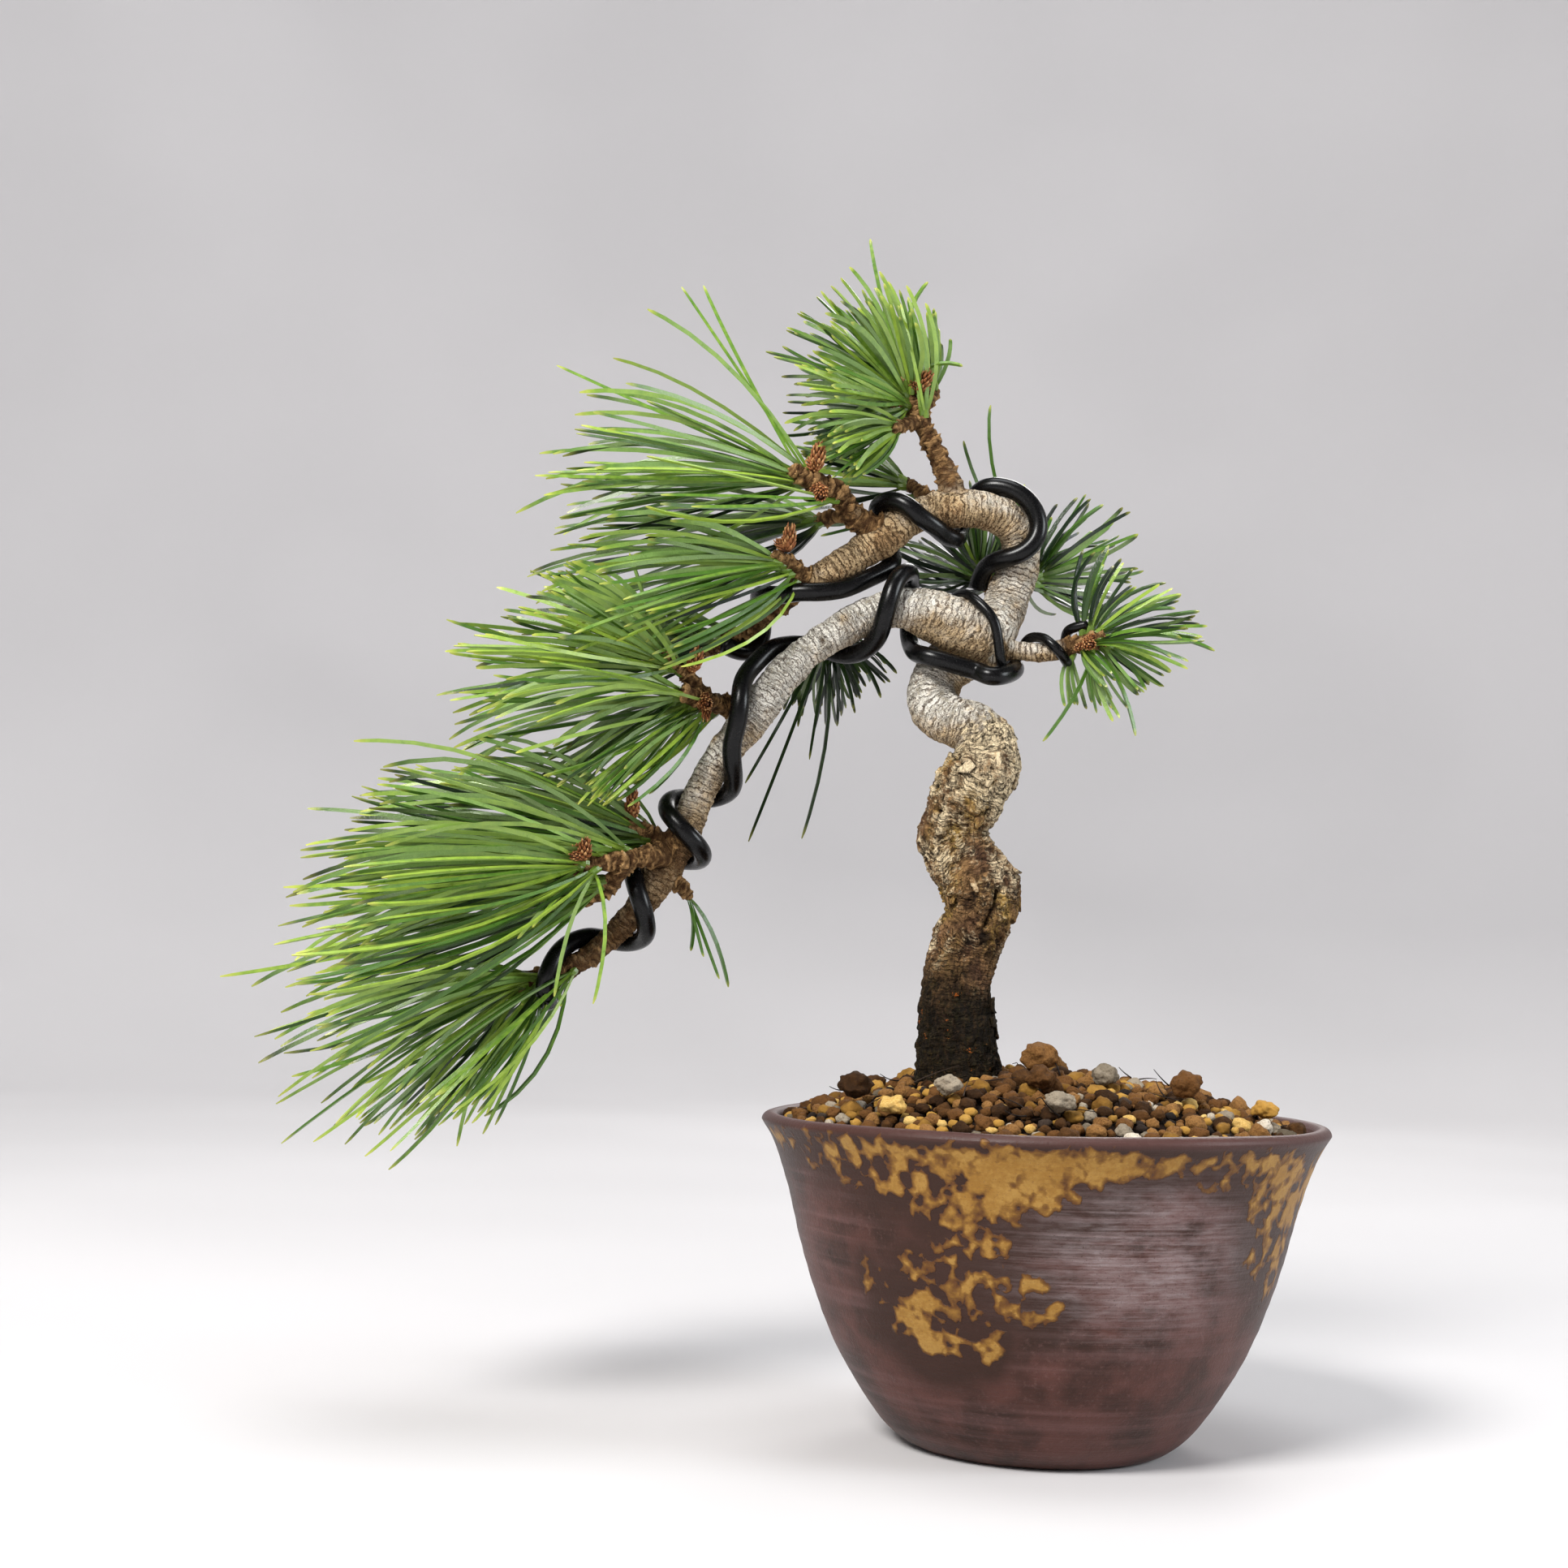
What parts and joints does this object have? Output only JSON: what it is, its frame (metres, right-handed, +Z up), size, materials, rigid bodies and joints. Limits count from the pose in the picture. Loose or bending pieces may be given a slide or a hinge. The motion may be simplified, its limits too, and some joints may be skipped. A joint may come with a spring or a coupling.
{
  "type": "bonsai tree in a pot",
  "caption": "Small wired five-needle pine in semi-cascade style with needle tufts, growing in granular soil in a conical stoneware pot with a flat base.",
  "frame": {"origin": "centre of the pot's flat base", "axes": "+Z up along the pot's axis; -Y is the front the tree is viewed from; the cascade branch falls towards -X"},
  "size_m": [0.1945, 0.104, 0.2249],
  "materials": {
    "stoneware": "unglazed purple-brown stoneware with ochre glaze splashes, satin",
    "bark": "flaky tan and dark brown bark below, smooth pale grey bark with fine rings above",
    "needle": "satin mid-green with yellow-green tips",
    "bud_scale": "papery orange-brown scales",
    "black_wire": "black anodised, satin",
    "soil": "matte granular soil",
    "soil_clay": "matte fired-clay lump",
    "soil_pumice": "matte porous pumice",
    "soil_pebble": "matte yellow-tan pebble",
    "mesh_plastic": "matte black plastic"
  },
  "bodies": {
    "root": {"bud_apex": "bud_scale", "bud_crown_high": "bud_scale", "bud_crown_mid": "bud_scale", "bud_mid_left": "bud_scale", "bud_outer_high": "bud_scale", "bud_outer_low": "bud_scale", "bud_right": "bud_scale", "bud_upper_left": "bud_scale", "bud_upper_left_low": "bud_scale", "drain_mesh": "mesh_plastic", "needles_apex": "needle", "needles_apex_back": "needle", "needles_apex_low": "needle", "needles_apex_right": "needle", "needles_arch_back": "needle", "needles_back_left": "needle", "needles_back_right": "needle", "needles_cascade_end": "needle", "needles_crown_high": "needle", "needles_crown_low": "needle", "needles_crown_mid": "needle", "needles_crown_stub": "needle", "needles_knot": "needle", "needles_mid_back": "needle", "needles_mid_left": "needle", "needles_outer_high": "needle", "needles_outer_low": "needle", "needles_right": "needle", "needles_upper_back": "needle", "needles_upper_left": "needle", "pot": "stoneware", "soil_bed": "soil", "soil_grain_clay_far": "soil_clay", "soil_grain_clay_front": "soil_clay", "soil_grain_clay_large": "soil_clay", "soil_grain_clay_left": "soil_clay", "soil_grain_clay_right": "soil_clay", "soil_grain_pebble_far": "soil_pebble", "soil_grain_pebble_left": "soil_pebble", "soil_grain_pebble_right": "soil_pebble", "soil_grain_pumice_front": "soil_pumice", "soil_grain_pumice_left": "soil_pumice", "soil_grain_pumice_right": "soil_pumice", "training_wire_apex": "black_wire", "training_wire_cascade": "black_wire", "training_wire_right": "black_wire", "trunk_and_branches": "bark"}
  },
  "joints": []
}
